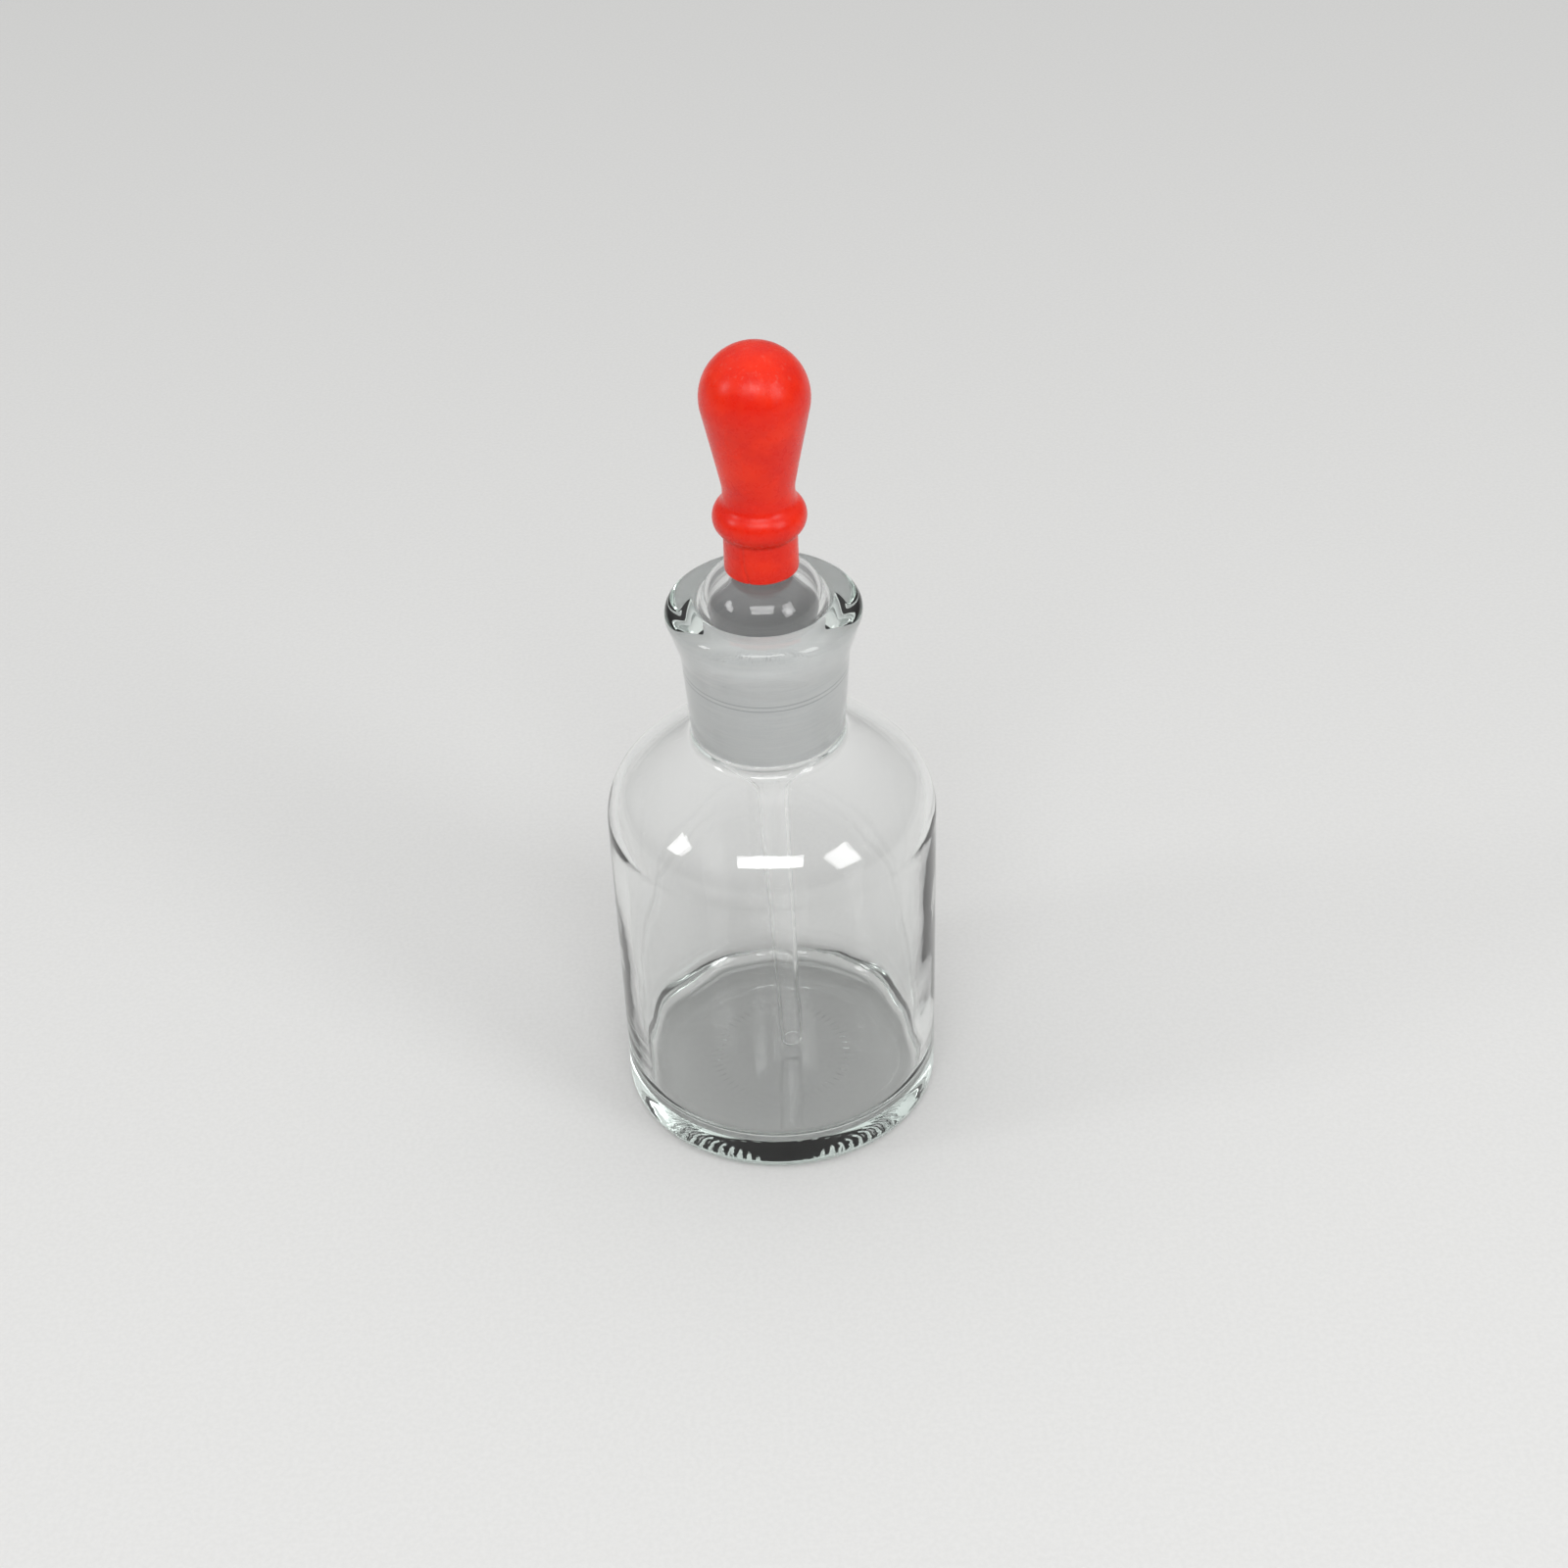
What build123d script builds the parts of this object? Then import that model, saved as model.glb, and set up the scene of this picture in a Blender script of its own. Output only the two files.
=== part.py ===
from build123d import *

import os
from math import acos, cos, degrees, radians, sin, tan

# Dropper bottle for 60 ml of reagent, in three pieces: a glass bottle with a ground neck, a glass
# dropper whose hollow stopper is ground into that neck, and the rubber teat on the dropper.
# Millimetres. The origin is the centre of the bottle's foot, and +Z is the axis of all three.

# ---- bottle, outside ----
BODY_R = 23.0             # outer radius of the straight wall
HEEL_FILLET = 1.9         # rounding where the wall meets the foot
FOOT_INNER_R = 17.7       # the bottle stands on the ring outside this radius
PUSH_UP = 0.6             # height of the hollow under the base
SHOULDER_Z = 48.65        # top of the straight wall
SHOULDER_EDGE_R = 9.3     # rounding from the wall into the shoulder
SHOULDER_EDGE_ANGLE = 44.4
SHOULDER_DOME_R = 38.3    # the shoulder above that rounding is a flatter arc
NECK_BASE_R = 10.45
NECK_FILLET = 1.8         # concave rounding between shoulder and neck
NECK_TOP_R = 11.35
NECK_TOP_Z = 76.1
NECK_TOP_FILLET = 1.9
LIP_R = 13.1
LIP_CORNER_Z = 81.75      # the flare under the lip ends here
LIP_TOP_Z = 83.7
LIP_EDGE_FILLET = 1.8
LIP_MOUTH_FILLET = 0.95

# ---- bottle, inside ----
FLOOR_Z = 3.1
INNER_HEEL_FILLET = 4.3
INNER_BOTTOM_R = 20.9     # the wall is thicker at the bottom than at the shoulder
SHOULDER_WALL = 1.5
SOCKET_BASE_R = 7.48
SOCKET_BASE_FILLET = 1.15

# ---- ground joint, with the laboratory taper of 1:10 on diameter ----
JOINT_Z = 82.4
JOINT_R = 8.5             # radius of the socket at JOINT_Z
JOINT_SLOPE = 0.05        # growth of the radius per millimetre of height
JOINT_GAP = 0.1           # radial room that lets the stopper be lifted and turned

# ---- dropper, outside ----
TIP_Z = 4.6
TIP_R = 1.7
TIP_FILLET = 0.2
TUBE_TOP_R = 2.15
TUBE_TOP_Z = 51.8
TUBE_TOP_FILLET = 8.6
PLUG_BASE_Z = 67.1
PLUG_BASE_FILLET = 4.8
DOME_EDGE_Z = 82.8
DOME_HEIGHT = 5.55
SPIGOT_R = 3.75
SPIGOT_TOP_Z = 98.7
SPIGOT_ROOT_FILLET = 0.25
SPIGOT_RIM_FILLET = 0.3

# ---- dropper, inside ----
TUBE_WALL = 0.5
PLUG_WALL = 1.15
SPIGOT_WALL = 0.85
BORE_FUNNEL_FILLET = 4.8

# ---- teat ----
TEAT_GAP = 0.08           # radial room around the spigot, which the rubber closes by stretching
SKIRT_R = 4.9
SKIRT_Z = 88.65
SKIRT_RIM_FILLET = 0.3
BEAD_R = 6.15
BEAD_Z = 96.4
BEAD_ARC_R = 2.6
BEAD_ROOT_R = 4.85        # radius of the teat just above and below the bead
BEAD_LOW_FILLET = 0.8
BEAD_HIGH_FILLET = 1.7    # the bead runs more softly into the waist than into the skirt
WAIST_Z = 100.5
WAIST_FILLET = 5.75
BULB_R = 7.05
BULB_Z = 113.3            # centre of the bulb's round end
BULB_CONE_ANGLE = 11.3    # degrees between the axis and the cone under the round end
BULB_WALL = 1.3
TEAT_BORE_TOP_Z = 99.9


def socket_radius(z):
    """Radius of the ground socket at height z."""
    return JOINT_R + JOINT_SLOPE * (z - JOINT_Z)


def stopper_radius(z):
    """Radius of the ground stopper at height z."""
    return socket_radius(z) - JOINT_GAP


def round_corners(section, corners):
    """Round the corners of a section, each given as its radius, its height and its fillet."""
    for r, z, rounding in corners:
        fillet(section.vertices().sort_by_distance((r, z, 0))[0], rounding)


def shoulder(depth, end_r):
    """Draw the shoulder's two tangent arcs, depth under its outer surface. Returns where they end."""
    edge_angle = radians(SHOULDER_EDGE_ANGLE)
    edge_centre = (BODY_R - SHOULDER_EDGE_R, SHOULDER_Z)
    step = SHOULDER_DOME_R - SHOULDER_EDGE_R
    dome_centre = (edge_centre[0] - step * cos(edge_angle), edge_centre[1] - step * sin(edge_angle))
    dome_r = SHOULDER_DOME_R - depth
    end_angle = acos((end_r - dome_centre[0]) / dome_r)
    CenterArc(edge_centre, SHOULDER_EDGE_R - depth, 0, SHOULDER_EDGE_ANGLE)
    CenterArc(dome_centre, dome_r, SHOULDER_EDGE_ANGLE, degrees(end_angle) - SHOULDER_EDGE_ANGLE)
    return (end_r, dome_centre[1] + dome_r * sin(end_angle))


def make_bottle():
    """Thick glass bottle: foot ring, straight wall, domed shoulder, ground neck and flared lip."""
    mouth_r = socket_radius(LIP_TOP_Z)
    inner_top_r = BODY_R - SHOULDER_WALL
    with BuildPart() as bottle:
        with BuildSketch(Plane.XZ) as section:
            with BuildLine():
                ThreePointArc((0, PUSH_UP), (FOOT_INNER_R / 2, PUSH_UP * 3 / 4), (FOOT_INNER_R, 0))
                Polyline((FOOT_INNER_R, 0), (BODY_R, 0), (BODY_R, SHOULDER_Z))
                neck_base = shoulder(0, NECK_BASE_R)
                socket_base = shoulder(SHOULDER_WALL, SOCKET_BASE_R)
                Polyline(
                    neck_base,
                    (NECK_TOP_R, NECK_TOP_Z),
                    (LIP_R, LIP_CORNER_Z),
                    (LIP_R, LIP_TOP_Z),
                    (mouth_r, LIP_TOP_Z),
                    socket_base,
                )
                Polyline(
                    (inner_top_r, SHOULDER_Z),
                    (INNER_BOTTOM_R, FLOOR_Z),
                    (0, FLOOR_Z),
                    (0, PUSH_UP),
                )
            make_face()
            round_corners(
                section,
                (
                    (BODY_R, 0, HEEL_FILLET),
                    (*neck_base, NECK_FILLET),
                    (NECK_TOP_R, NECK_TOP_Z, NECK_TOP_FILLET),
                    (LIP_R, LIP_TOP_Z, LIP_EDGE_FILLET),
                    (mouth_r, LIP_TOP_Z, LIP_MOUTH_FILLET),
                    (*socket_base, SOCKET_BASE_FILLET),
                    (INNER_BOTTOM_R, FLOOR_Z, INNER_HEEL_FILLET),
                ),
            )
        revolve(axis=Axis.Z)
    bottle.part.label = "bottle"
    return bottle.part


def make_pipette():
    """Glass dropper in one piece: narrow tube, hollow ground stopper with a dome, and spigot."""
    plug_base_r = stopper_radius(PLUG_BASE_Z)
    plug_base_bore = (plug_base_r - PLUG_WALL, PLUG_BASE_Z + PLUG_WALL / 2)
    dome_r = stopper_radius(DOME_EDGE_Z)
    dome_top = (SPIGOT_R, DOME_EDGE_Z + DOME_HEIGHT)
    dome_bore_r = dome_r - PLUG_WALL
    dome_bore_height = DOME_HEIGHT - PLUG_WALL
    spigot_bore_r = SPIGOT_R - SPIGOT_WALL
    dome_bore_top = (spigot_bore_r, DOME_EDGE_Z + dome_bore_height)
    tube_bore_top = (TUBE_TOP_R - TUBE_WALL, TUBE_TOP_Z + TUBE_WALL)
    tip_bore = (TIP_R - TUBE_WALL, TIP_Z)
    with BuildPart() as pipette:
        with BuildSketch(Plane.XZ) as section:
            with BuildLine():
                Polyline(
                    tip_bore,
                    (TIP_R, TIP_Z),
                    (TUBE_TOP_R, TUBE_TOP_Z),
                    (plug_base_r, PLUG_BASE_Z),
                    (dome_r, DOME_EDGE_Z),
                )
                EllipticalCenterArc(
                    (SPIGOT_R, DOME_EDGE_Z), dome_r - SPIGOT_R, DOME_HEIGHT, arc_size=90
                )
                Polyline(
                    dome_top,
                    (SPIGOT_R, SPIGOT_TOP_Z),
                    (spigot_bore_r, SPIGOT_TOP_Z),
                    dome_bore_top,
                )
                EllipticalCenterArc(
                    (spigot_bore_r, DOME_EDGE_Z), dome_bore_r - spigot_bore_r, dome_bore_height, arc_size=90
                )
                Polyline(
                    (dome_bore_r, DOME_EDGE_Z),
                    plug_base_bore,
                    tube_bore_top,
                    tip_bore,
                )
            make_face()
            round_corners(
                section,
                (
                    (TIP_R, TIP_Z, TIP_FILLET),
                    (*tip_bore, TIP_FILLET),
                    (TUBE_TOP_R, TUBE_TOP_Z, TUBE_TOP_FILLET),
                    (plug_base_r, PLUG_BASE_Z, PLUG_BASE_FILLET),
                    (*dome_top, SPIGOT_ROOT_FILLET),
                    (SPIGOT_R, SPIGOT_TOP_Z, SPIGOT_RIM_FILLET),
                    (spigot_bore_r, SPIGOT_TOP_Z, SPIGOT_RIM_FILLET),
                    (*dome_bore_top, SPIGOT_ROOT_FILLET),
                    (*plug_base_bore, BORE_FUNNEL_FILLET),
                    (*tube_bore_top, TUBE_TOP_FILLET),
                ),
            )
        revolve(axis=Axis.Z)
    pipette.part.label = "pipette"
    return pipette.part


def make_teat():
    """Rubber teat: skirt over the spigot, bead collar, waist, and a bulb with a round end."""
    bore_r = SPIGOT_R + TEAT_GAP
    bead_half_height = (BEAD_ARC_R**2 - (BEAD_ROOT_R - BEAD_R + BEAD_ARC_R) ** 2) ** 0.5
    bead_low = (BEAD_ROOT_R, BEAD_Z - bead_half_height)
    bead_high = (BEAD_ROOT_R, BEAD_Z + bead_half_height)
    cone_angle = radians(BULB_CONE_ANGLE)
    cone_top = (BULB_R * cos(cone_angle), BULB_Z - BULB_R * sin(cone_angle))
    waist_r = cone_top[0] - (cone_top[1] - WAIST_Z) * tan(cone_angle)
    cavity_r = BULB_R - BULB_WALL
    with BuildPart() as teat:
        with BuildSketch(Plane.XZ) as section:
            with BuildLine():
                Polyline((bore_r, SKIRT_Z), (SKIRT_R, SKIRT_Z), bead_low)
                ThreePointArc(bead_low, (BEAD_R, BEAD_Z), bead_high)
                Polyline(bead_high, (waist_r, WAIST_Z), cone_top)
                CenterArc((0, BULB_Z), BULB_R, -BULB_CONE_ANGLE, 90 + BULB_CONE_ANGLE)
                Line((0, BULB_Z + BULB_R), (0, BULB_Z + cavity_r))
                CenterArc((0, BULB_Z), cavity_r, 0, 90)
                Polyline((cavity_r, BULB_Z), (bore_r, TEAT_BORE_TOP_Z), (bore_r, SKIRT_Z))
            make_face()
            round_corners(
                section,
                (
                    (bore_r, SKIRT_Z, SKIRT_RIM_FILLET),
                    (SKIRT_R, SKIRT_Z, SKIRT_RIM_FILLET),
                    (*bead_low, BEAD_LOW_FILLET),
                    (*bead_high, BEAD_HIGH_FILLET),
                    (waist_r, WAIST_Z, WAIST_FILLET),
                ),
            )
        revolve(axis=Axis.Z)
    teat.part.label = "teat"
    return teat.part


os.makedirs("parts", exist_ok=True)
for piece in (make_bottle(), make_pipette(), make_teat()):
    export_step(piece, f"parts/{piece.label}.step")
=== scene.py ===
from math import atan2, ceil, cos, exp, pi, radians, sin

import bmesh
import bpy
from mathutils import Matrix, Vector, noise


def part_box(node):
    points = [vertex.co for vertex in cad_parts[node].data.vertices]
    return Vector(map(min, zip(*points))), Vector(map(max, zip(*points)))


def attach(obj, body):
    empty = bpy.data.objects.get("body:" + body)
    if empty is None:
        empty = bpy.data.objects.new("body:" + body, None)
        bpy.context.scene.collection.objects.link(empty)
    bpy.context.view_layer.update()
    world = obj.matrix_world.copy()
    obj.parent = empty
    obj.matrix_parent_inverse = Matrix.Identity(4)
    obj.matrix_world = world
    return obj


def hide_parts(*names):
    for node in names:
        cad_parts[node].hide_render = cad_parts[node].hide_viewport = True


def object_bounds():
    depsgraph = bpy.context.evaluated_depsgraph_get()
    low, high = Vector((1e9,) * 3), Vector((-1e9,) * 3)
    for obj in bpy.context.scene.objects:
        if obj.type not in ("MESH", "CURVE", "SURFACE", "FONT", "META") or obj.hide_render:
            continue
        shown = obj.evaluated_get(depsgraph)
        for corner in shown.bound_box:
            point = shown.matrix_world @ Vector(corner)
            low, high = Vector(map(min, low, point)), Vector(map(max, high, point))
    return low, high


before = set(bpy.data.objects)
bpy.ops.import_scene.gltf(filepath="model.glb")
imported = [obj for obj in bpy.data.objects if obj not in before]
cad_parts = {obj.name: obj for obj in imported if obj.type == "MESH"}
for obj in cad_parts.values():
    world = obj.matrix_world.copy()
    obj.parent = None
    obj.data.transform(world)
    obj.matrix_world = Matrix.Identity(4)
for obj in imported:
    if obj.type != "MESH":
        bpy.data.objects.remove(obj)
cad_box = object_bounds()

# Clear glass dropper bottle with a ground glass dropper and a rubber teat, turned about +Z.
# Metres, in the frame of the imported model.

MM = 0.001

# ---- how an outline becomes a smooth turned surface ----
RING_SPACING = 0.6 * MM
SEAM_TOLERANCE = 1e-7       # a vertex this near the half plane lies in it
ON_AXIS = 10 * SEAM_TOLERANCE
SAME_POINT = 0.002 * MM     # vertices nearer than this are one point of the outline
LONG_NEIGHBOUR = 2.5        # a neighbour this much longer is a straight run that the point is tangent to
SHARP_TURN = radians(24)

# ---- bottle ----
BOTTLE_STEPS = 224
BORE_LIMIT_R = 9.5 * MM     # inside the neck the ground surface lies within this radius
GROUND_BORE_Z = (62.6 * MM, 82.6 * MM)
INNER_WAVE = 0.16 * MM      # unevenness of the blown inner wall, between two heights
WAVE_LOW_Z = 7 * MM
WAVE_HIGH_Z = 58 * MM
WAVE_FADE = 10 * MM
WALL_MIDDLE_R = 22.2 * MM   # middle of the straight wall, which falls inwards above SHOULDER_Z
SHOULDER_Z = 48 * MM
SHOULDER_FALL = 6.5 * MM
OUTER_WAVE = 0.03 * MM
STIPPLE_R = 9.6 * MM        # ring of pressed dots under the base
STIPPLE_WIDTH = 0.45 * MM
STIPPLE_DEPTH = 0.22 * MM
STIPPLE_COUNT = 56
STIPPLE_ZONE = (16 * MM, 0.7 * MM)          # the dots stay within this radius and under this height
OUTER_WAVE_ZONE = (20 * MM, 2 * MM)         # the outer waves stay outside this radius and over this height
COARSE_WAVE_RATES = (75, 38)                # waves per metre, across and along the axis
FINE_WAVE_RATES = (190, 120)
FINE_SHARE = 0.25
OUTER_WAVE_RATES = (60, 45)
FROST_CLEARNESS = 0.25      # how much a ground surface lets through without scattering it
BOTTLE_TINT = ((0.3, 0.85, 0.6, 1), 4.5)    # what is left of the light, and how strongly
GRINDING_RINGS = (72.0 * MM, 72.7 * MM)     # deeper lines in the ground bore

# ---- dropper ----
PIPETTE_STEPS = 160
CONE_LIMIT_R = 7.3 * MM     # the ground cone lies outside this radius
GROUND_CONE_Z = (68.5 * MM, 82.2 * MM)
LEAN_TOP_Z = 60 * MM        # the tube starts to lean here
LEAN = 1.5 * MM             # sideways offset of its tip
LEAN_CURVE = 1.15
TIP_LOW_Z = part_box("pipette")[0].z
DROPPER_TINT = ((0.6, 0.85, 0.75, 1), 4.0)

# ---- teat ----
TEAT_STEPS = 288
TEAT_WAVE = 0.06 * MM
TEAT_WAVE_RATES = (130, 90)
SKIRT_LIMIT_R = 4.5 * MM    # the skirt's outer surface lies outside this radius
CREASE_TOP = (radians(-30), 93.9 * MM)      # angle from the front, and height
CREASE_LOW = (radians(-20), 88.7 * MM)
CREASE_DEPTH = 0.16 * MM
CREASE_WIDTH = 0.17 * MM
CREASE_BEND = radians(4)
CREASE_FADE = 0.1           # share of its length that it runs past each end; it fades in round its top
SCUFF_Z = (93.6 * MM, 94.6 * MM, 94.7 * MM, 95.4 * MM)    # scuffs at the bead's lower root
CROWN_Z = (115 * MM, 119 * MM)              # scuffs grow on the crown between these heights
RIM_DUST_AND_HIGHLIGHT_Z = (89.0 * MM, 88.75 * MM)             # the rim turns paler from the first height to the second: partly dust, partly a painted highlight

# ---- camera ----
CAMERA_PLACE = (0, -266.3 * MM, 257.2 * MM)
CAMERA_LENS = 55.485
CAMERA_PITCH = radians(37.51)
CAMERA_YAW = radians(0.39)
CAMERA_ROLL = radians(-2.20)
SENSOR_WIDTH = 36
CLIP_START = 10 * MM

# ---- light and floor ----
LIGHT_DISTANCE = 0.9
LIGHT_TARGET = (0, 0, 60 * MM)
LIGHTS = (                  # name, azimuth and elevation in degrees, width, height, watts
    ("front_window", -3, 47, 0.62, 0.17, 2.4),
    ("right_box", 52, 30, 0.26, 0.42, 1.7),
    ("left_box", -76, 31, 0.14, 0.24, 0.8),
)
SKY_RISE = (0.1, 0.95)      # sine of the elevation where the surroundings start and stop brightening
SKY_STRENGTH = (0.3, 0.92)  # at the horizon and overhead
FLOOR_HALF = 2.5
FLOOR_DROP = 0.05 * MM      # gap under the foot
GLASS_BOUNCES = 24
GLOSS_BOUNCES = 8

# ---- colours ----
WHITE = (1, 1, 1, 1)
FROST_GREY = (0.88, 0.89, 0.90, 1)
GRINDING_GREY = (0.42, 0.44, 0.45, 1)
RUBBER_RED = (0.86, 0.022, 0.001, 1)
RUBBER_DEEP_RED = (0.74, 0.011, 0.001, 1)
RUBBER_LIGHT_RED = (0.90, 0.040, 0.003, 1)
# pale colour of the dust bloom and scuffs, also used for the rim's painted highlight
RUBBER_BLOOM_AND_HIGHLIGHT = (0.9, 0.42, 0.33, 1)
CARD_LOW = (0.70, 0.70, 0.69, 1)
CARD_HIGH = (0.73, 0.73, 0.72, 1)


# ---------------------------------------------------------------- outlines

def seam_outline(node):
    """Outline of a turned CAD node in its own half plane: (radius, height) points, and if it is closed."""
    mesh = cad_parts[node].data
    spots, owner = [], {}
    for vertex in mesh.vertices:
        if abs(vertex.co.y) > SEAM_TOLERANCE or vertex.co.x < -SEAM_TOLERANCE:
            continue
        spot = Vector((vertex.co.x, vertex.co.z))
        same = [i for i, other in enumerate(spots) if (other - spot).length < SAME_POINT]
        if not same:
            same = [len(spots)]
            spots.append(spot)
        owner[vertex.index] = same[0]
    links = {i: set() for i in range(len(spots))}
    for edge in mesh.edges:
        a, b = (owner.get(i) for i in edge.vertices)
        if a is not None and b is not None and a != b:
            links[a].add(b)
            links[b].add(a)
    ends = sorted((i for i in links if len(links[i]) == 1), key=lambda i: spots[i].y)
    here = ends[0] if ends else min(links, key=lambda i: (spots[i].y, spots[i].x))
    chain = []
    while here is not None:
        chain.append(here)
        onward = sorted(links[here] - set(chain), key=lambda i: (spots[i] - spots[here]).length)
        here = onward[0] if onward else None
    outline = [tuple(spots[i]) for i in chain]
    if ends and outline[-1][0] > SAME_POINT:
        outline.append((0, outline[-1][1]))  # a flat floor has no vertex on the axis
    return outline, not ends


def tangents(a, b, c):
    """Directions in which a smooth outline arrives at b and leaves it, on its way from a to c."""
    arrive, leave = b - a, c - b
    la, lb = arrive.length, leave.length
    turn = arrive.angle(leave)
    arrive.normalize()
    leave.normalize()
    if turn > SHARP_TURN:
        return arrive, leave
    if la > LONG_NEIGHBOUR * lb:
        return arrive, arrive
    if lb > LONG_NEIGHBOUR * la:
        return leave, leave
    middle = (arrive * lb + leave * la).normalized()
    return middle, middle


def smooth_outline(points, closed):
    """The outline's points joined by Hermite curves, at the ring spacing."""
    spots = [Vector(p) for p in points]
    count = len(spots)
    inward, outward = [], []
    for i, spot in enumerate(spots):
        if closed or 0 < i < count - 1:
            arrive, leave = tangents(spots[i - 1], spot, spots[(i + 1) % count])
        else:
            other = spots[1] - spot if i == 0 else spot - spots[-2]
            arrive = leave = other.normalized()
            if spot.x < ON_AXIS:
                level = Vector((1 if other.x > 0 else -1, 0))
                arrive = leave = level
        inward.append(arrive)
        outward.append(leave)
    result = []
    for i in range(count if closed else count - 1):
        a, b = spots[i], spots[(i + 1) % count]
        reach = (b - a).length
        leave, arrive = outward[i] * reach, inward[(i + 1) % count] * reach
        parts = max(1, ceil(reach / RING_SPACING))
        for k in range(parts):
            t = k / parts
            result.append(
                a * (2 * t**3 - 3 * t**2 + 1)
                + leave * (t**3 - 2 * t**2 + t)
                + b * (3 * t**2 - 2 * t**3)
                + arrive * (t**3 - t**2)
            )
    if not closed:
        result.append(spots[-1])
    return [(max(p.x, 0), p.y) for p in result]


def link(thing):
    """Puts a new object in the scene."""
    bpy.context.scene.collection.objects.link(thing)


def lathe(name, node, steps, place, is_ground):
    """Turns a CAD node's outline into a new mesh. place moves a point, and is_ground marks frosted ones."""
    points, closed = seam_outline(node)
    outline = smooth_outline(points, closed)
    rings, vertices, ground = [], [], []
    for r, z in outline:
        on_axis = r < ON_AXIS
        ring = []
        for k in range(1 if on_axis else steps):
            ring.append(len(vertices))
            vertices.append(place(r, z, 2 * pi * k / steps))
            ground.append(1.0 if is_ground(r, z) else 0.0)
        rings.append(ring)
    faces = []
    for i in range(len(rings) if closed else len(rings) - 1):
        low, high = rings[i], rings[(i + 1) % len(rings)]
        for k in range(steps):
            n = (k + 1) % steps
            if len(low) == 1:
                face = (low[0], high[n], high[k])
            elif len(high) == 1:
                face = (low[k], low[n], high[0])
            else:
                face = (low[k], low[n], high[n], high[k])
            faces.append(face)
    mesh = bpy.data.meshes.new(name)
    mesh.from_pydata(vertices, [], faces)
    mesh.attributes.new("ground", "FLOAT", "POINT").data.foreach_set("value", ground)
    work = bmesh.new()
    work.from_mesh(mesh)
    bmesh.ops.recalc_face_normals(work, faces=work.faces)
    work.to_mesh(mesh)
    work.free()
    mesh.shade_smooth()
    piece = bpy.data.objects.new(name, mesh)
    link(piece)
    return piece


def around(r, z, angle):
    """Point at a radius and height. The angle is measured from the front, -Y, towards +X."""
    return Vector((r * sin(angle), -r * cos(angle), z))


def ease(x):
    """0 below 0, 1 above 1, and smooth between."""
    x = min(max(x, 0), 1)
    return x * x * (3 - 2 * x)


def bump_at(x, width):
    """1 at 0, and falls off over a width either side."""
    return exp(-(x / width) ** 2)


def wave(spot, rates, shift_x=0, shift_z=0):
    """Smooth noise at a point, with its waves per metre across and along the axis."""
    across, along = rates
    return noise.noise(Vector((spot.x * across + shift_x, spot.y * across, spot.z * along + shift_z)))


def dip(spot, rates, shift_x=0, shift_z=0):
    """The same noise from 0 to 1."""
    return 0.5 + 0.5 * wave(spot, rates, shift_x, shift_z)


# ---------------------------------------------------------------- shapes

def bottle_point(r, z, angle):
    """Bottle: true outside with slight waves, a wavier inner wall, and a ring of dots under the base."""
    spot = around(r, z, angle)
    if WAVE_LOW_Z < z < WAVE_HIGH_Z and r < wall_middle(z):
        fade = ease((z - WAVE_LOW_Z) / WAVE_FADE) * ease((WAVE_HIGH_Z - z) / WAVE_FADE)
        uneven = wave(spot, COARSE_WAVE_RATES) + FINE_SHARE * wave(spot, FINE_WAVE_RATES, shift_x=5)
        return around(r + INNER_WAVE * fade * uneven, z, angle)
    if r > OUTER_WAVE_ZONE[0] and z > OUTER_WAVE_ZONE[1]:
        return around(r - OUTER_WAVE * dip(spot, OUTER_WAVE_RATES, shift_x=9), z, angle)
    if r < STIPPLE_ZONE[0] and z < STIPPLE_ZONE[1]:
        dots = max(0, cos(STIPPLE_COUNT * angle))
        return around(r, z + STIPPLE_DEPTH * dots * bump_at(r - STIPPLE_R, STIPPLE_WIDTH), angle)
    return spot


def wall_middle(z):
    """Radius between the inner and outer surfaces of the bottle's wall at height z."""
    rise = max(0, z - SHOULDER_Z)
    return WALL_MIDDLE_R - SHOULDER_FALL * (rise / (WAVE_HIGH_Z - SHOULDER_Z)) ** 2


def in_ground_bore(r, z):
    """True on the frosted part of the bottle's bore."""
    return r < BORE_LIMIT_R and GROUND_BORE_Z[0] < z < GROUND_BORE_Z[1]


def pipette_point(r, z, angle):
    """Dropper, whose drawn tube leans a little to +X."""
    lean = max(0, (LEAN_TOP_Z - z) / (LEAN_TOP_Z - TIP_LOW_Z))
    return around(r, z, angle) + Vector((LEAN * lean**LEAN_CURVE, 0, 0))


def on_ground_cone(r, z):
    """True on the frosted part of the stopper's cone."""
    return r > CONE_LIMIT_R and GROUND_CONE_Z[0] < z < GROUND_CONE_Z[1]


def teat_point(r, z, angle):
    """Teat, slightly uneven, with a crease in its skirt."""
    shrink = TEAT_WAVE * dip(around(r, z, angle), TEAT_WAVE_RATES, shift_z=3)
    share = (CREASE_TOP[1] - z) / (CREASE_TOP[1] - CREASE_LOW[1])
    if r > SKIRT_LIMIT_R and -CREASE_FADE < share < 1 + CREASE_FADE:
        bend = CREASE_BEND * sin(pi * share)
        middle = CREASE_TOP[0] + (CREASE_LOW[0] - CREASE_TOP[0]) * share - bend
        away = atan2(sin(angle - middle), cos(angle - middle)) * r
        fade = ease((share + CREASE_FADE) / (2 * CREASE_FADE))
        shrink += CREASE_DEPTH * bump_at(away, CREASE_WIDTH) * fade
    return around(r - shrink, z, angle)


def nowhere(r, z):
    """No part of the teat is ground."""
    return False


# ---------------------------------------------------------------- materials

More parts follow.
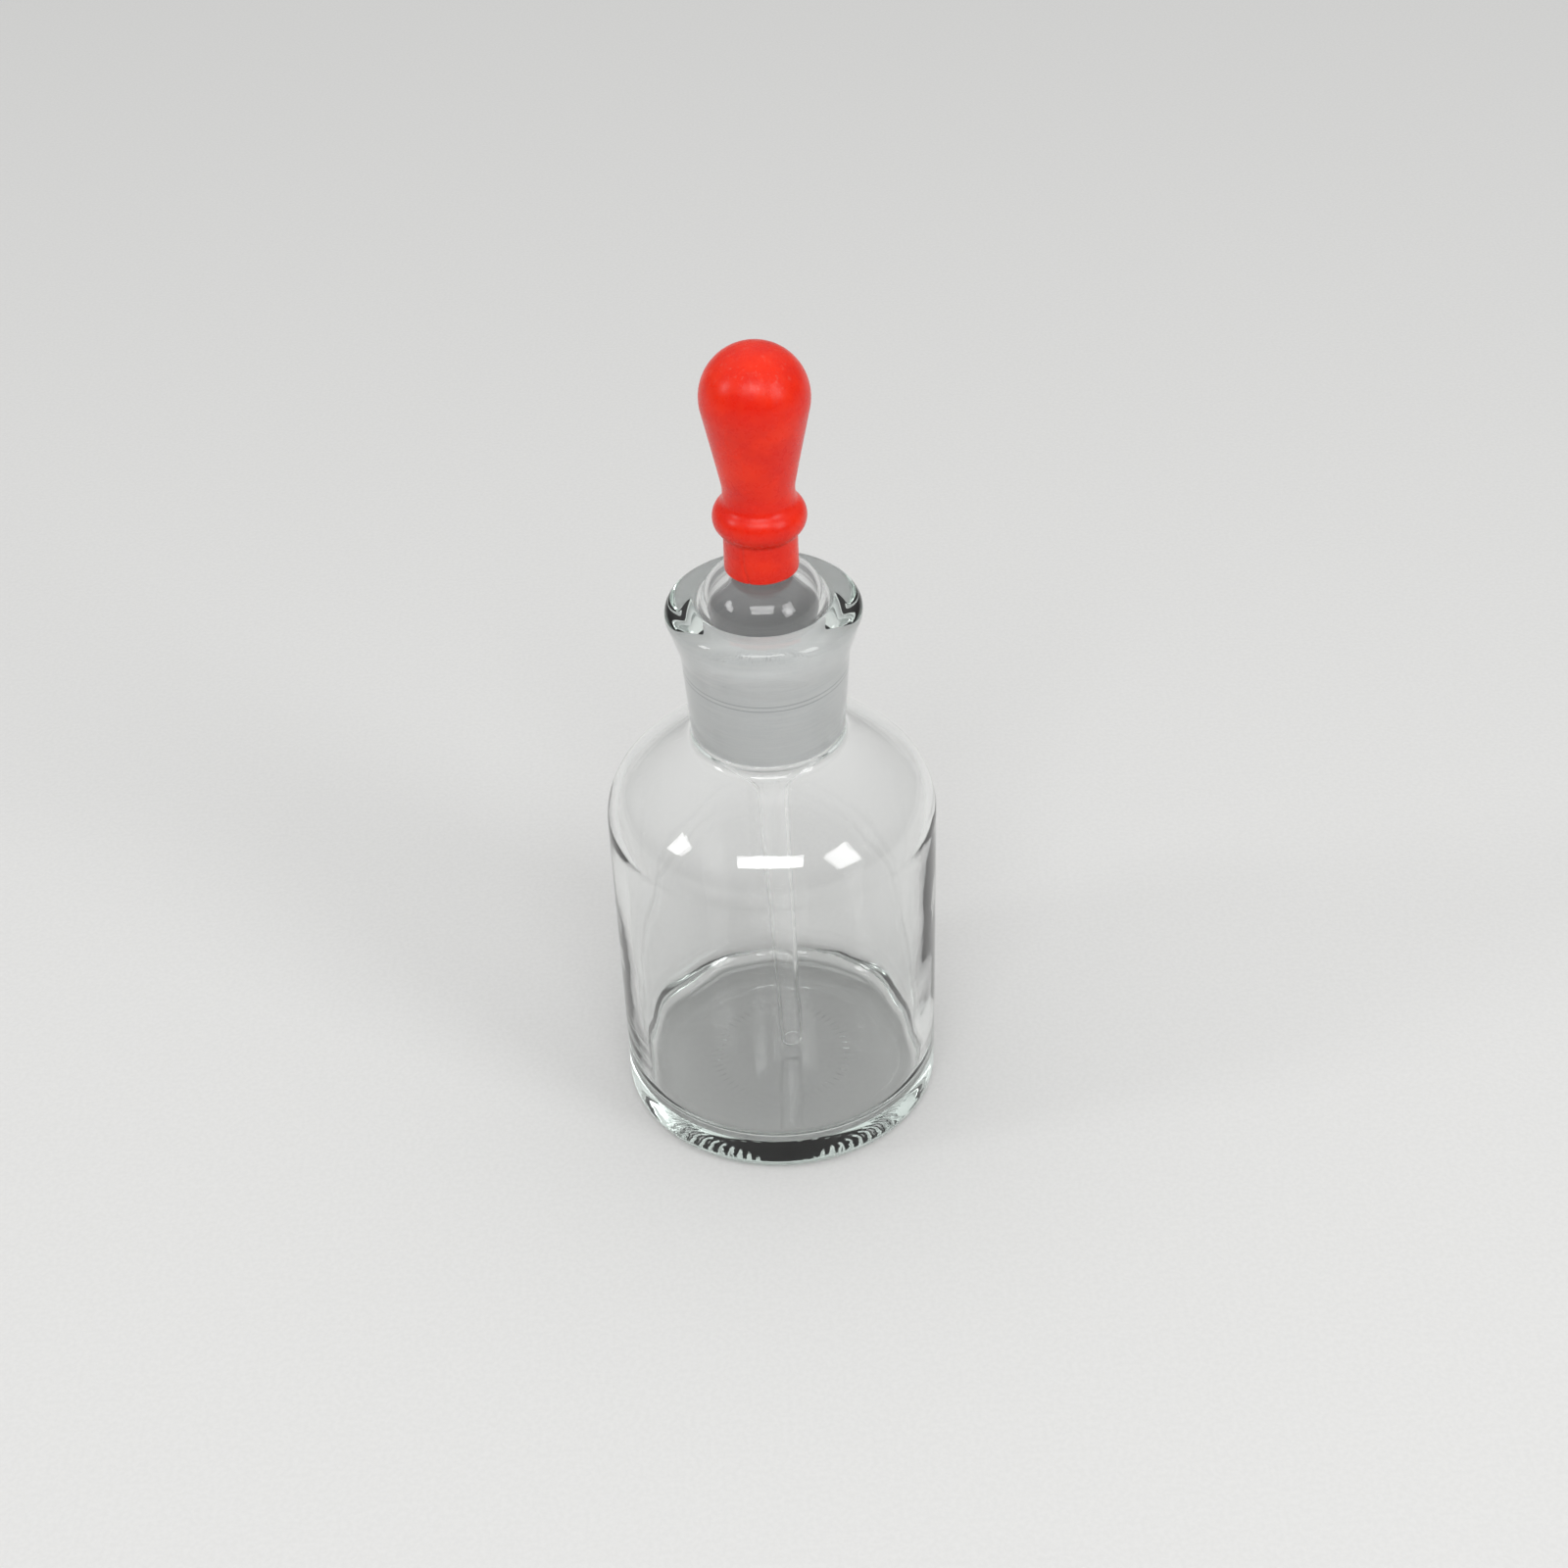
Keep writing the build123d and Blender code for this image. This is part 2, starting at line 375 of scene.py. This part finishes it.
class Nodes:
    """Short way to build a material's nodes."""

    def __init__(self, name):
        self.material = bpy.data.materials.new(name)
        self.material.use_nodes = True
        self.tree = self.material.node_tree
        self.shader = self.tree.nodes["Principled BSDF"]
        self.output = self.tree.nodes["Material Output"]

    def feed(self, socket, value):
        """Links another node's output to a socket, or sets its constant."""
        if isinstance(value, bpy.types.NodeSocket):
            self.tree.links.new(value, socket)
        else:
            socket.default_value = value

    def add(self, kind, inputs=None, **settings):
        """A new node with its settings and inputs."""
        node = self.tree.nodes.new(kind)
        for key, value in settings.items():
            setattr(node, key, value)
        for key, value in (inputs or {}).items():
            self.feed(node.inputs[key], value)
        return node

    def set(self, **values):
        """Inputs of the shader, by name."""
        for key, value in values.items():
            self.feed(self.shader.inputs[key.replace("_", " ")], value)

    def z(self):
        """Height in the object's own frame."""
        spot = self.add("ShaderNodeTexCoord").outputs["Object"]
        return self.add("ShaderNodeSeparateXYZ", {"Vector": spot}).outputs["Z"]

    def place(self, scale=(1, 1, 1)):
        """Object coordinates in millimetres, stretched by scale."""
        spot = self.add("ShaderNodeTexCoord").outputs["Object"]
        factors = tuple(s / MM for s in scale)
        return self.add("ShaderNodeMapping", {"Vector": spot, "Scale": factors}).outputs["Vector"]

    def noise(self, where, scale, detail=3.0, roughness=0.55):
        """Noise with scale waves per unit of where."""
        inputs = {"Vector": where, "Scale": scale, "Detail": detail, "Roughness": roughness}
        return self.add("ShaderNodeTexNoise", inputs).outputs["Fac"]

    def spread(self, value, low, high, start=0.0, end=1.0):
        """Maps low..high to start..end, clamped and eased."""
        inputs = {"Value": value, 1: low, 2: high, 3: start, 4: end}
        node = self.add("ShaderNodeMapRange", inputs, interpolation_type="SMOOTHSTEP")
        return node.outputs["Result"]

    def math(self, operation, a, b=0.0):
        """Result of a calculation."""
        node = self.add("ShaderNodeMath", {0: a, 1: b}, operation=operation)
        return node.outputs["Value"]

    def mix(self, factor, a, b):
        """Mix of two colours. A mix node's colour sockets are told apart by number only."""
        node = self.add("ShaderNodeMix", {0: factor}, data_type="RGBA")
        self.feed(node.inputs[6], a)
        self.feed(node.inputs[7], b)
        return node.outputs[2]

    def height(self, height, distance, strength=1.0, normal=None):
        """Bumps from a height, on top of those in normal."""
        inputs = {"Height": height, "Distance": distance, "Strength": strength}
        if normal is not None:
            inputs["Normal"] = normal
        return self.add("ShaderNodeBump", inputs).outputs["Normal"]


def part_ground_glass(name, tint, density, rings):
    """Polished glass with a green tint through its thickness. Where the piece's ground attribute is 1 it is
    frosted, with fine grinding lines round the axis and deeper ones at the heights in rings."""
    glass = Nodes(name)
    ground = glass.add("ShaderNodeAttribute", attribute_name="ground").outputs["Fac"]
    smear = glass.noise(glass.place((1, 1, 0.25)), scale=0.35, detail=4.0)
    ripple = glass.noise(glass.place(), scale=0.22, detail=2.0)
    lines = glass.noise(glass.place((0.12, 0.12, 3.0)), scale=1.0, detail=5.0, roughness=0.7)
    grain = glass.noise(glass.place(), scale=6.0, detail=3.0, roughness=0.7)
    cloud = glass.noise(glass.place((1, 1, 0.6)), scale=0.25, detail=3.0)
    tone = glass.math("ADD", glass.math("MULTIPLY", lines, 0.6), glass.math("MULTIPLY", grain, 0.4))
    frost = glass.mix(glass.spread(tone, 0.35, 0.65), FROST_GREY, WHITE)
    frost = glass.mix(glass.spread(cloud, 0.35, 0.7, end=0.4), frost, WHITE)
    z = glass.z()
    for ring in rings:
        away = glass.math("ABSOLUTE", glass.math("SUBTRACT", z, ring))
        mark = glass.spread(away, 0.03 * MM, 0.14 * MM, start=0.6, end=0.0)
        frost = glass.mix(mark, frost, GRINDING_GREY)
    rough = glass.spread(grain, 0.3, 0.7, start=0.5, end=0.72)
    polished = glass.spread(smear, 0.5, 0.75, end=0.035)
    line_depth = glass.math("MULTIPLY", lines, ground)
    grain_depth = glass.math("MULTIPLY", grain, ground)
    scratched = glass.height(line_depth, distance=0.05 * MM, strength=0.5)
    scratched = glass.height(grain_depth, distance=0.03 * MM, strength=0.6, normal=scratched)
    glass.set(
        Base_Color=glass.mix(ground, WHITE, frost),
        Transmission_Weight=glass.spread(ground, 0.0, 1.0, start=1.0, end=FROST_CLEARNESS),
        IOR=1.52,
        Roughness=glass.math("ADD", polished, glass.math("MULTIPLY", rough, ground)),
        Normal=glass.height(ripple, distance=0.02 * MM, strength=0.5, normal=scratched),
    )
    absorb = glass.add("ShaderNodeVolumeAbsorption", {"Color": tint, "Density": density})
    glass.tree.links.new(absorb.outputs["Volume"], glass.output.inputs["Volume"])
    return glass.material


def red_rubber(name):
    """Satin orange-red rubber: deeper red patches, fine grain, pale bloom and scuffs, and a paler rim low
    on the skirt that is partly dust and partly a painted highlight.
    """
    rubber = Nodes(name)
    where = rubber.place()
    patches = rubber.noise(where, scale=0.16, detail=3.0)
    mottle = rubber.noise(where, scale=0.9, detail=4.0, roughness=0.6)
    grain = rubber.noise(where, scale=7.0, detail=3.0, roughness=0.7)
    scuff = rubber.noise(rubber.place((1.0, 1.0, 0.45)), scale=1.6, detail=6.0, roughness=0.75)
    z = rubber.z()
    deep = rubber.mix(rubber.spread(patches, 0.35, 0.65), RUBBER_RED, RUBBER_DEEP_RED)
    base = rubber.mix(rubber.spread(mottle, 0.4, 0.75, end=0.2), deep, RUBBER_LIGHT_RED)
    band_low = rubber.spread(z, SCUFF_Z[0], SCUFF_Z[1])
    band_high = rubber.spread(z, SCUFF_Z[3], SCUFF_Z[2])
    band = rubber.math("MULTIPLY", band_low, band_high)
    crown = rubber.spread(z, *CROWN_Z, end=0.5)
    wear = rubber.math("MAXIMUM", band, crown)
    worn = rubber.math("MULTIPLY", rubber.spread(scuff, 0.55, 0.72), wear)
    dust = rubber.math("MULTIPLY", rubber.spread(scuff, 0.62, 0.8), 0.16)
    bloom = rubber.math("MAXIMUM", rubber.math("MULTIPLY", worn, 0.5), dust)
    # paler rim low on the skirt: partly dust, partly a painted highlight where light catches the edge
    rim_dust_and_highlight = rubber.spread(z, *RIM_DUST_AND_HIGHLIGHT_Z, end=0.22)
    satin = rubber.spread(mottle, 0.3, 0.7, start=0.24, end=0.34)
    bumps = rubber.height(mottle, distance=0.06 * MM, strength=0.5)
    rubber.set(
        Base_Color=rubber.mix(rubber.math("MAXIMUM", bloom, rim_dust_and_highlight), base, RUBBER_BLOOM_AND_HIGHLIGHT),
        Roughness=rubber.math("ADD", satin, rubber.math("MULTIPLY", bloom, 0.4)),
        IOR=1.42,
        Specular_IOR_Level=0.4,
        Normal=rubber.height(grain, distance=0.02 * MM, strength=0.5, normal=bumps),
    )
    return rubber.material


def pale_floor(name):
    """Matt pale card."""
    card = Nodes(name)
    grain = card.noise(card.place(), scale=1.5, detail=4.0)
    card.set(
        Base_Color=card.mix(card.spread(grain, 0.3, 0.7), CARD_LOW, CARD_HIGH),
        Roughness=0.85,
    )
    return card.material


# ---------------------------------------------------------------- stage

def make_floor():
    """Large pale card just under the bottle's foot."""
    low = cad_box[0][2] - FLOOR_DROP
    signs = ((-1, -1), (1, -1), (1, 1), (-1, 1))
    corners = [(x * FLOOR_HALF, y * FLOOR_HALF, low) for x, y in signs]
    mesh = bpy.data.meshes.new("floor")
    mesh.from_pydata(corners, [], [(0, 1, 2, 3)])
    mesh.materials.append(pale_floor("floor_card"))
    floor = bpy.data.objects.new("floor", mesh)
    link(floor)


def make_camera():
    """Camera at the set place, aimed by yaw, pitch and roll."""
    forward = Vector((
        sin(CAMERA_YAW) * cos(CAMERA_PITCH),
        cos(CAMERA_YAW) * cos(CAMERA_PITCH),
        -sin(CAMERA_PITCH),
    ))
    level = Vector((cos(CAMERA_YAW), -sin(CAMERA_YAW), 0))
    upright = level.cross(forward)
    right = cos(CAMERA_ROLL) * level + sin(CAMERA_ROLL) * upright
    up = -sin(CAMERA_ROLL) * level + cos(CAMERA_ROLL) * upright
    data = bpy.data.cameras.new("camera")
    data.lens = CAMERA_LENS
    data.sensor_width = SENSOR_WIDTH
    data.clip_start = CLIP_START
    camera = bpy.data.objects.new("camera", data)
    turned = Matrix((right, up, -forward)).transposed().to_4x4()
    camera.matrix_world = Matrix.Translation(CAMERA_PLACE) @ turned
    link(camera)
    bpy.context.scene.camera = camera


def make_light(name, azimuth, elevation, width, height, watts):
    """Soft box that faces the bottle. Azimuth 0 is the camera's side, and grows towards +X."""
    data = bpy.data.lights.new(name, "AREA")
    data.shape = "RECTANGLE"
    data.size = width
    data.size_y = height
    data.energy = watts
    light = bpy.data.objects.new(name, data)
    a, e = radians(azimuth), radians(elevation)
    away = Vector((sin(a) * cos(e), -cos(a) * cos(e), sin(e)))
    light.location = Vector(LIGHT_TARGET) + away * LIGHT_DISTANCE
    light.rotation_euler = away.to_track_quat("Z", "Y").to_euler()
    link(light)


def make_world():
    """Soft surroundings, bright overhead and dim at the horizon."""
    world = bpy.data.worlds.new("studio")
    world.use_nodes = True
    bpy.context.scene.world = world
    nodes, links = world.node_tree.nodes, world.node_tree.links
    direction = nodes.new("ShaderNodeTexCoord")
    split = nodes.new("ShaderNodeSeparateXYZ")
    ramp = nodes.new("ShaderNodeMapRange")
    ramp.interpolation_type = "SMOOTHSTEP"
    limits = (*SKY_RISE, *SKY_STRENGTH)
    for socket, limit in zip(ramp.inputs[1:5], limits):
        socket.default_value = limit
    links.new(direction.outputs["Generated"], split.inputs["Vector"])
    links.new(split.outputs["Z"], ramp.inputs["Value"])
    nodes["Background"].inputs["Color"].default_value = WHITE
    links.new(ramp.outputs["Result"], nodes["Background"].inputs["Strength"])


# ---------------------------------------------------------------- build

make_camera()
make_floor()
make_world()
for light_row in LIGHTS:
    make_light(*light_row)

bottle = lathe("glass_bottle", "bottle", BOTTLE_STEPS, bottle_point, in_ground_bore)
bottle.data.materials.append(part_ground_glass("bottle_glass", *BOTTLE_TINT, GRINDING_RINGS))
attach(bottle, "bottle")
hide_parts("bottle")

pipette = lathe("glass_dropper", "pipette", PIPETTE_STEPS, pipette_point, on_ground_cone)
pipette.data.materials.append(part_ground_glass("dropper_glass", *DROPPER_TINT, ()))
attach(pipette, "pipette")
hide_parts("pipette")

teat = lathe("rubber_teat", "teat", TEAT_STEPS, teat_point, nowhere)
teat.data.materials.append(red_rubber("red_rubber"))
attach(teat, "teat")
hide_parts("teat")

scene = bpy.context.scene
scene.view_settings.view_transform = "Standard"
scene.cycles.max_bounces = GLASS_BOUNCES
scene.cycles.transmission_bounces = GLASS_BOUNCES
scene.cycles.glossy_bounces = GLOSS_BOUNCES
